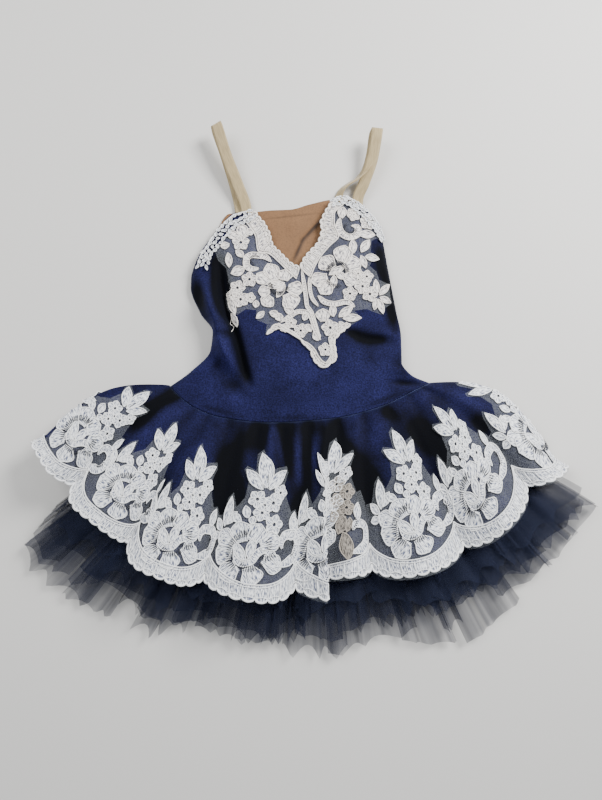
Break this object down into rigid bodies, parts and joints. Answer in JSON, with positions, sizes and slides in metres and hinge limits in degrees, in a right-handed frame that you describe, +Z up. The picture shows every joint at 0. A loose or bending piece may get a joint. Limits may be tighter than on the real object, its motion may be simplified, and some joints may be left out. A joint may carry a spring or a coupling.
{
  "type": "child's tutu dress, laid flat",
  "caption": "Child's camisole tutu dress laid flat: velvet bodice and skirt, floral lace on cups and scalloped hem, elastic straps, gathered tulle underskirt.",
  "frame": {"origin": "on the table, on the flat underside of the bodice's back, 30 mm above the middle of the waist seam", "axes": "+X across the dress to the viewer's right, +Y from the hem up to the straps, +Z up from the table, out of the front"},
  "size_m": [0.5394, 0.5217, 0.0482],
  "materials": {
    "velvet": "navy stretch velvet with a short sheening pile",
    "mesh": "nude power mesh",
    "elastic": "nude woven strap elastic",
    "lace": "off-white corded lace on a fine net",
    "tulle": "sheer navy nylon tulle"
  },
  "bodies": {
    "root": {"bodice_back": "velvet", "back_yoke": "mesh", "bodice_front": "velvet", "skirt_back": "velvet", "skirt_front": "velvet", "hem_lace_back": "lace", "hem_lace_front": "lace", "tulle_outer_back": "tulle", "tulle_inner_back": "tulle", "tulle_inner_front": "tulle", "tulle_outer_front": "tulle", "bodice_lace_left": "lace", "bodice_lace_right": "lace", "armhole_lace_left": "lace", "armhole_lace_right": "lace", "strap_left": "elastic", "strap_right": "elastic"}
  },
  "joints": []
}
